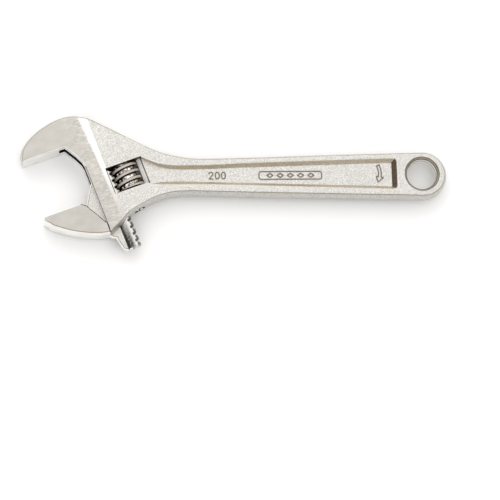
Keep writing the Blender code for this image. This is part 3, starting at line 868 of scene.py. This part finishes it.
JAW_V = FIXED_FACE_V - OPENING
JAW_EDGE_U = THROAT_U - 0.35
JAW_BACK = [(-176.6, 41.0), (-174.4, 37.1), (-171.3, 34.4), (-167.4, 31.5), (-163.3, 29.1),
            (-159.0, 27.0), (-154.6, 25.3), (JAW_EDGE_U, 24.2)]
JAW_FRONT = [(JAW_EDGE_U, 30.0), (-152.5, 35.2), (-155.7, 40.7), (-157.7, JAW_V), (-176.0, JAW_V)]
WEB = [(-157.0, 33.0, 0.0), (-151.5, 25.5, 0.0), (-148.9, 22.9, 0.6), (-147.5, 22.2, 0.6),
       (-146.9, 18.4, 0.8), (-146.1, 15.8, 0.8), (-144.8, 14.9, 0.6), (ROD_U - 1.0, 14.9, 0.0),
       (ROD_U - 1.0, 51.6, 0.0), (-148.3, 51.6, 0.6), (-149.4, 50.8, 0.6), (-152.0, 46.9, 3.0),
       (-155.2, 41.6, 0.0)]
ROD_V = (15.2, 56.0)
ROD_END = [(-146.5, 56.9), (-134.0, 50.6), (-134.0, 60.0), (-146.5, 60.0)]      # cut off it, aslant
CORNER = (ROD_U - 3.3, ROD_U - 2.5, 14.0, 51.0)     # the groove between web and rod
CORNER_Z = (1.6, 3.6)
RACK_FROM_V = 14.0
TOOTH_DEPTH = 2.4
GROOVE_REACH = 4.5      # of a groove's cutter, to each side of mid thickness
# the cut and rim slots carry painted shade: near black and a thin brown edge line
JAW_FLAT, JAW_RACK, JAW_CUT_SHADE, JAW_SIDE, JAW_WEB, JAW_RIM_SHADE = range(6)      # the material slots


def jaw_blank(materials):
    """The hook: side rings round its back and face, closed by a ground flat on both sides."""
    back = head(evenly(through(JAW_BACK), 60))
    loop = np.vstack([back, head(JAW_FRONT)])
    curved = np.arange(len(loop)) < len(back) - 1
    ease = eased(loop, back[0])
    radius = np.where(curved, 0.4 * ease + 0.05, 0.25)
    radius[len(back):len(back) + 3] = 0.4
    rings = side_rings(loop, np.where(curved, 0.9 * ease, 0.0), radius, np.full(len(loop), HALF - 0.02))
    points, faces = skin(rings)
    walls = np.full((len(rings) - 1, len(loop)), JAW_SIDE)
    # painted shade: thin brown lines on the rounds of the hook's curved edges
    walls[np.ix_(RIM_ROWS, curved)] = JAW_RIM_SHADE
    # painted shade: black lines on the shoulder's edges
    walls[np.ix_(RIM_ROWS, len(back) + np.arange(3))] = JAW_CUT_SHADE
    return new_object("wrench_jaw", points, faces, materials,
                      walls.ravel().tolist() + [JAW_FLAT, JAW_FLAT])


def rack_groove(middle, lean):
    """One groove of the rack: a profile (place along u, half width) that widens from its rounded root
    to its mouth, carried across the rod and leaning by lean for each unit of height."""
    root_u, crest_u = ROD_U + ROD_RADIUS - TOOTH_DEPTH, ROD_U + ROD_RADIUS
    half = [(root_u, 0.45), (root_u + 0.16, 0.6), (crest_u - 0.35, 1.02), (crest_u, 1.3),
            (crest_u + 0.6, 1.6)]
    profile = np.array([(u, -width) for u, width in half] + half[::-1])
    rings = [raised(head(profile + (0.0, middle + w * lean)), MID_Z + w)
             for w in (-GROOVE_REACH, GROOVE_REACH)]
    # painted shade: the groove's faces are near black
    return one_slot("groove", skin(rings), JAW_CUT_SHADE)


def web_blank():
    """The web between hook and rod: a flat plate with bevelled edges. Each level of its upper half is
    (inset, height)."""
    outline = head(rounded(WEB, 5))
    upper = [(0.0, 1.7), (0.45, 1.95), (0.72, 2.2)]
    levels = [(edge, -z) for edge, z in upper[::-1]] + upper
    points, faces = skin([raised(inset(outline, edge), MID_Z + z) for edge, z in levels])
    # painted shade: thin brown lines on the bevels' outer bands
    bands = np.repeat([JAW_RIM_SHADE, JAW_SIDE, JAW_SIDE, JAW_SIDE, JAW_RIM_SHADE], len(outline))
    return new_object("web", points, faces, face_slots=bands.tolist() + [JAW_WEB, JAW_WEB])


class WRENCH_OT_jaw(Operator):
    """Build the movable jaw with its web and toothed rod"""
    bl_idname = "wrench.jaw"
    bl_label = "Movable jaw"

    def execute(self, context):
        made = bpy.data.materials
        # painted shade: the cut walls are near black and the edge lines brown
        jaw = jaw_blank([made["ground_flat"], rack_metal(), made["cut_wall_painted_shade"], made["bright_plate"],
                         forged_metal("web_skin", (0.99, 0.99, 0.98)), made["painted_edge_shade"]])
        low, high = ROD_V
        rod = [(2.9, low), (3.25, low + 0.15), (ROD_RADIUS, low + 0.5), (ROD_RADIUS, high)]
        carve(jaw, [web_blank(), one_slot("rod", turned(ROD_U, rod, 96), JAW_RACK)], "UNION")
        near, far = CORNER_Z
        lean = LEAD / (math.tau * context.scene.wrench_worm.crest)
        first = CREST_V - LEAD / 4
        count = int((first - RACK_FROM_V) / LEAD) + 1
        # painted shade: the grooves between web and rod are near black, as are the rack's grooves
        carve(jaw, [upright(head(ROD_END), 0.0, 2 * HALF, JAW_RACK),
                    upright(oblong(*CORNER), MID_Z + near, MID_Z + far, JAW_CUT_SHADE),
                    upright(oblong(*CORNER), MID_Z - far, MID_Z - near, JAW_CUT_SHADE)]
              + [rack_groove(first - k * LEAD, lean) for k in range(-1, count)])
        dress(jaw, "movable_jaw", "movable_jaw")
        return {"FINISHED"}


# ---------------------------------------------------------------- worm, pin and spring

THREAD_TURNS = 7        # before it is cut to the worm's length
THREAD_SIDES = 96
WORM_BORE = 2.05
PIN_RADIUS = 1.85
PIN_V = (31.45, 60.0)
DRIVER_SLOT = (0.4, 1.1)        # half its width, and its depth
POCKET = (3.1, 3.8)     # radius and depth of the spring's pocket
SPRING_WIRE = 0.28
SPRING_RADIUS = 2.5
SPRING_TURNS = 3
SPRING_GAP = 0.3        # between the coil's ends and what they press on


def thread():
    """A right-hand thread: the tooth's profile (place along v, radius) is carried round and up by one
    lead in each turn, and its last point in a turn is joined to its first in the next. Fans to the
    axis close both ends."""
    turns, sides = THREAD_TURNS, THREAD_SIDES
    sizes = bpy.context.scene.wrench_worm
    flank = (LEAD - sizes.crest_width - sizes.root_gap) / 2
    c, r = sizes.crest_width / 2, sizes.root_gap
    tooth = np.array([(-c + 0.1, sizes.crest), (c - 0.1, sizes.crest), (c + 0.02, sizes.crest - 0.05),
                      (c + 0.1, sizes.crest - 0.17), (c + flank - 0.1, sizes.root + 0.2),
                      (c + flank + 0.02, sizes.root + 0.06), (c + flank + 0.2, sizes.root),
                      (c + flank + r - 0.2, sizes.root), (c + flank + r - 0.02, sizes.root + 0.06),
                      (c + flank + r + 0.1, sizes.root + 0.2),
                      (c + 2 * flank + r - 0.1, sizes.crest - 0.17),
                      (c + 2 * flank + r - 0.02, sizes.crest - 0.05)])
    steps = np.arange(turns * sides + 1)[:, None]
    low = CREST_V - LEAD * (turns - 2)
    points = around(WORM_U, tooth[:, 1], steps / sides, low + LEAD * steps / sides + tooth[:, 0])
    count = len(tooth)
    step, place = np.meshgrid(np.arange(turns * sides), np.arange(count), indexing="ij")
    next_step = np.where(place == count - 1, step + sides, step)
    next_place = (place + 1) % count
    ids = np.stack([step * count + place, (step + 1) * count + place,
                    (next_step + 1) * count + next_place, next_step * count + next_place], axis=-1)
    keep = next_step + 1 <= turns * sides
    faces = ids[keep].tolist()
    last = turns * sides
    bottom = [k * count for k in range(sides + 1)] + [count - 1 - k for k in range(count - 1)]
    top = ([(last - sides + k) * count + count - 1 for k in range(sides + 1)]
           + [last * count + count - 2 - k for k in range(count - 1)])
    axis = around(WORM_U, 0.0, 0.0, np.array([low - 2.0, low + LEAD * turns + 2.0]))
    points = np.vstack([points.reshape(-1, 3), axis])
    centre = len(points) - 2
    for loop, middle in ((bottom, centre), (top[::-1], centre + 1)):
        faces += [[middle, b, a] for a, b in zip(loop, loop[1:] + loop[:1])]
    return new_object("wrench_worm", points, faces)


class WRENCH_OT_worm(Operator):
    """Build the worm with its thread"""
    bl_idname = "wrench.worm"
    bl_label = "Worm"

    def execute(self, context):
        sizes = context.scene.wrench_worm
        low, high = WORM_V
        radius, depth = POCKET
        profile = [(WORM_BORE + 0.3, low), (sizes.crest - 0.5, low), (sizes.crest + 0.2, low + 0.8),
                   (sizes.crest + 0.2, high - 0.8), (sizes.crest - 0.5, high), (radius + 0.25, high),
                   (radius, high - 0.25), (radius, high - depth), (WORM_BORE, high - depth),
                   (WORM_BORE, low + 0.3)]
        worm = thread()
        worm.data.materials.append(worm_metal(sizes.root, sizes.crest))
        blank = new_object("worm_blank", *turned(WORM_U, profile, 96, looped=True))
        carve(worm, [blank], "INTERSECT")
        dress(worm, "worm", "worm")
        return {"FINISHED"}


class WRENCH_OT_pin(Operator):
    """Build the screw pin that the worm turns on"""
    bl_idname = "wrench.pin"
    bl_label = "Pin"

    def execute(self, context):
        r, (low, high) = PIN_RADIUS, PIN_V
        profile = [(r - 0.3, low), (r - 0.09, low + 0.09), (r, low + 0.3), (r, high - 0.5), (r - 0.5, high)]
        pin = new_object("wrench_pin", *turned(WORM_U, profile, 64))
        pin.data.materials.append(turned_metal("pin_steel", 1.2, (0.22, 0.36)))
        half, depth = DRIVER_SLOT
        slot = oblong(WORM_U - half, WORM_U + half, low - 1.0, low + depth)
        carve(pin, [upright(slot, 0.0, 2 * HALF, 0)])
        dress(pin, "body", "worm_pin")
        return {"FINISHED"}


class WRENCH_OT_spring(Operator):
    """Build the small spring that presses on the worm: a ring of wire carried round and up"""
    bl_idname = "wrench.spring"
    bl_label = "Spring"

    def execute(self, context):
        low = WORM_V[1] - POCKET[1] + SPRING_GAP + SPRING_WIRE
        high = WINDOW_V[1] - SPRING_GAP - SPRING_WIRE
        t = np.linspace(0.0, 1.0, 48 * SPRING_TURNS + 1)[:, None]
        ring = np.linspace(0.0, -math.tau, 13)[:-1]
        coil = around(WORM_U, SPRING_RADIUS + SPRING_WIRE * np.cos(ring), SPRING_TURNS * t,
                      low + (high - low) * t + SPRING_WIRE * np.sin(ring))
        spring = new_object("wrench_spring", *skin(coil))
        spring.data.materials.append(turned_metal("spring_wire", 0.55, (0.2, 0.34)))
        dress(spring, "body", "tension_spring")
        return {"FINISHED"}


# ---------------------------------------------------------------- raised marks

MARK_WIDTH = 0.62
MARK_HEIGHT = 0.42
DIGITS_AT = (-102.2, -99.1, -96.2)      # x of each digit's left side
DIGITS_FOOT = -1.7
FRAME = [(-78.2, -1.9, 1.2), (-48.2, -1.9, 1.2), (-48.2, 1.9, 1.2), (-78.2, 1.9, 1.2)]
ARROW_CENTRE = (-30.2, 0.6)             # of the arcs that the arrow bends round


def stroke(path, closed):
    """A raised line: the profile of a low rounded mound (place across, height) carried along a
    path of points."""
    path = np.asarray(path, float)
    if closed:
        heading = np.roll(path, -1, axis=0) - np.roll(path, 1, axis=0)
    else:
        heading = np.gradient(path, axis=0)
    heading /= np.linalg.norm(heading, axis=1)[:, None]
    across = np.column_stack([-heading[:, 1], heading[:, 0]])
    half = [(0.5, -0.5), (0.5, 0.15), (0.36, 0.75), (0.15, 1.0)]
    mound = np.array([(-x, z) for x, z in half] + half[::-1])
    flat = path[:, None, :] + across[:, None, :] * mound[None, :, :1] * MARK_WIDTH
    height = np.broadcast_to(mound[None, :, 1], flat.shape[:2])
    return np.concatenate([flat, height[..., None]], axis=-1)


def mark_lines():
    """The marks as lines (points, closed): the number 200, a rounded frame round five diamonds, and
    the outline of an arrow that bends round its centre."""
    two = through([(0.1, 2.5), (0.5, 3.2), (1.2, 3.4), (1.9, 3.0), (1.9, 2.2), (1.2, 1.2), (0.1, 0.1)], 6)
    two = np.vstack([two, [(1.0, 0.1), (2.1, 0.1)]])
    turn = np.linspace(0.0, math.tau, 33)[:-1]
    zero = np.column_stack([1.05 + 0.95 * np.cos(turn), 1.75 + 1.65 * np.sin(turn)])
    lines = [(digit + (x, DIGITS_FOOT), digit is zero) for digit, x in zip((two, zero, zero), DIGITS_AT)]
    lines.append((rounded(FRAME, 6), True))
    for x in np.linspace(-73.0, -53.4, 5):
        diamond = [(x - 1.5, 0.0), (x, -1.0), (x + 1.5, 0.0), (x, 1.0), (x - 1.5, 0.0)]
        lines.append((evenly(np.array(diamond), 25)[:-1], True))
    sweep = np.linspace(0.42, -0.16, 13)
    sides = [(10.75, sweep), (11.9, sweep[-1:]), (10.0, sweep[-1:] - 0.27), (8.3, sweep[-1:]),
             (9.4, sweep[::-1]), (10.75, sweep[:1])]
    arrow = np.vstack([np.column_stack([r * np.cos(a), r * np.sin(a)]) for r, a in sides])
    lines.append((evenly(arrow + ARROW_CENTRE, 90)[:-1], True))
    return lines


class WRENCH_OT_marks(Operator):
    """Raise the size, a plain frame and the turning arrow from the channel's floor"""
    bl_idname = "wrench.marks"
    bl_label = "Marks"

    def execute(self, context):
        floor = context.scene.wrench_body.channel_floor
        # painted shade: the raised marks are a darker brown tint of the forged skin, so that they read as
        # outlined
        material = forged_metal("marks_painted_shade", (0.50, 0.44, 0.36))
        for side, name in ((1, "marks_upper"), (-1, "marks_lower")):
            points, faces = np.empty((0, 3)), []
            for path, closed in mark_lines():
                line, quads = skin(stroke(path, closed), looped=closed)
                faces += [[i + len(points) for i in face[::-1]] for face in quads]
                line = line * (1, side, MARK_HEIGHT * side) + (0, 0, MID_Z + side * floor)
                points = np.vstack([points, line])
            marks = new_object(name, points, faces, [material])
            dress(marks, "body")
        return {"FINISHED"}


# ---------------------------------------------------------------- stage

FLOOR_REACH = 3.0
FLOOR_Z = -0.0001               # a hair under the ground flats
SOFTBOX_AT = (-0.3, 1.2, 1.6)
CAMERA_AT = (-0.0992, -0.254533, 1.0)
CAMERA_TURN = (12.71, -5.65, -1.77)
WHITE = (1.0, 0.995, 0.985, 1.0)
SHADE = (0.13, 0.115, 0.09, 1.0)


def shown(name, data):
    """Makes an object of its data and links it to the scene."""
    obj = bpy.data.objects.new(name, data)
    bpy.context.scene.collection.objects.link(obj)
    return obj


def lay_floor():
    """Lays a sheet of white paper under the wrench."""
    mesh = bpy.data.meshes.new("floor")
    r = FLOOR_REACH
    mesh.from_pydata([(-r, -r, FLOOR_Z), (r, -r, FLOOR_Z), (r, r, FLOOR_Z), (-r, r, FLOOR_Z)],
                     [], [(0, 1, 2, 3)])
    floor = shown("floor", mesh)
    paper = bpy.data.materials.new("paper")
    paper.use_nodes = True
    shader = paper.node_tree.nodes["Principled BSDF"]
    shader.inputs["Base Color"].default_value = (0.93, 0.93, 0.93, 1.0)
    shader.inputs["Roughness"].default_value = 0.9
    mesh.materials.append(paper)


def hang_softbox(strength):
    """Hangs one large soft light behind and above the wrench, turned to the middle of the floor."""
    data = bpy.data.lights.new("softbox", "AREA")
    data.shape = "RECTANGLE"
    data.size, data.size_y = 1.2, 0.9
    data.energy = 4.0 * strength
    place = Vector(SOFTBOX_AT)
    turn = (-place).to_track_quat("-Z", "Y")
    shown("softbox", data).matrix_world = Matrix.Translation(place) @ turn.to_matrix().to_4x4()


def make_sky(strength):
    """A white sky that is dark near the horizon except towards +Y, so that what faces away from the
    softbox reads darker."""
    world = bpy.data.worlds.new("studio")
    world.use_nodes = True
    tree = world.node_tree
    direction = node(tree, "ShaderNodeTexCoord").outputs["Generated"]
    factors = []
    for axis, start, end in (((0.0, 1.0, 0.0), 0.6, 0.1), ((0.0, 0.0, 1.0), 0.55, 0.2)):
        part = vector_step(tree, "DOT_PRODUCT", direction, axis, "Value")
        factors.append(spread(tree, part, 0.0, 1.0, start, end))
    mix = node(tree, "ShaderNodeMix")
    mix.data_type = "RGBA"
    tree.links.new(product(tree, *factors), mix.inputs["Factor"])
    mix.inputs["A"].default_value = WHITE
    mix.inputs["B"].default_value = SHADE
    background = tree.nodes["Background"]
    tree.links.new(mix.outputs["Result"], background.inputs["Color"])
    background.inputs["Strength"].default_value = 1.26 * strength
    return world


class WRENCH_OT_stage(Operator):
    """Lay the white floor, hang the lights and set the camera"""
    bl_idname = "wrench.stage"
    bl_label = "Stage"

    def execute(self, context):
        studio, scene = context.scene.wrench_studio, context.scene
        lay_floor()
        hang_softbox(studio.light)
        scene.world = make_sky(studio.light)
        scene.view_settings.view_transform = "Standard"
        data = bpy.data.cameras.new("camera")
        data.lens = studio.lens
        scene.camera = shown("camera", data)
        scene.camera.location = CAMERA_AT
        scene.camera.rotation_euler = Euler([math.radians(angle) for angle in CAMERA_TURN], "XYZ")
        return {"FINISHED"}


# ---------------------------------------------------------------- panel and start

class WRENCH_PT_sidebar(Panel):
    """Lists the wrench's pieces, sizes and colours"""
    bl_idname = "WRENCH_PT_sidebar"
    bl_label = "Adjustable wrench"
    bl_space_type = "VIEW_3D"
    bl_region_type = "UI"
    bl_category = "Wrench"

    def draw(self, context):
        column = self.layout.column(align=True)
        for operator in PIECES:
            column.operator(operator.bl_idname)
        for group in GROUPS:
            settings = getattr(context.scene, group)
            for key in settings.bl_rna.properties.keys():
                if key not in ("rna_type", "name"):
                    column.prop(settings, key)


PIECES = (WRENCH_OT_body, WRENCH_OT_jaw, WRENCH_OT_worm, WRENCH_OT_pin, WRENCH_OT_spring,
          WRENCH_OT_marks, WRENCH_OT_stage)
GROUPS = {"wrench_body": BodySizes, "wrench_worm": WormSizes, "wrench_finish": Finish,
          "wrench_studio": Studio}


def register():
    """Registers the classes and hangs their settings on the scene."""
    for item in (*GROUPS.values(), *PIECES, WRENCH_PT_sidebar):
        bpy.utils.register_class(item)
    for name, group in GROUPS.items():
        setattr(bpy.types.Scene, name, PointerProperty(type=group))


def unregister():
    """Takes the settings and the classes away again."""
    for name in GROUPS:
        delattr(bpy.types.Scene, name)
    for item in (WRENCH_PT_sidebar, *PIECES[::-1], *reversed(GROUPS.values())):
        bpy.utils.unregister_class(item)


def main():
    register()
    for operator in PIECES:
        group, name = operator.bl_idname.split(".")
        getattr(getattr(bpy.ops, group), name)()


if __name__ == "__main__":
    main()
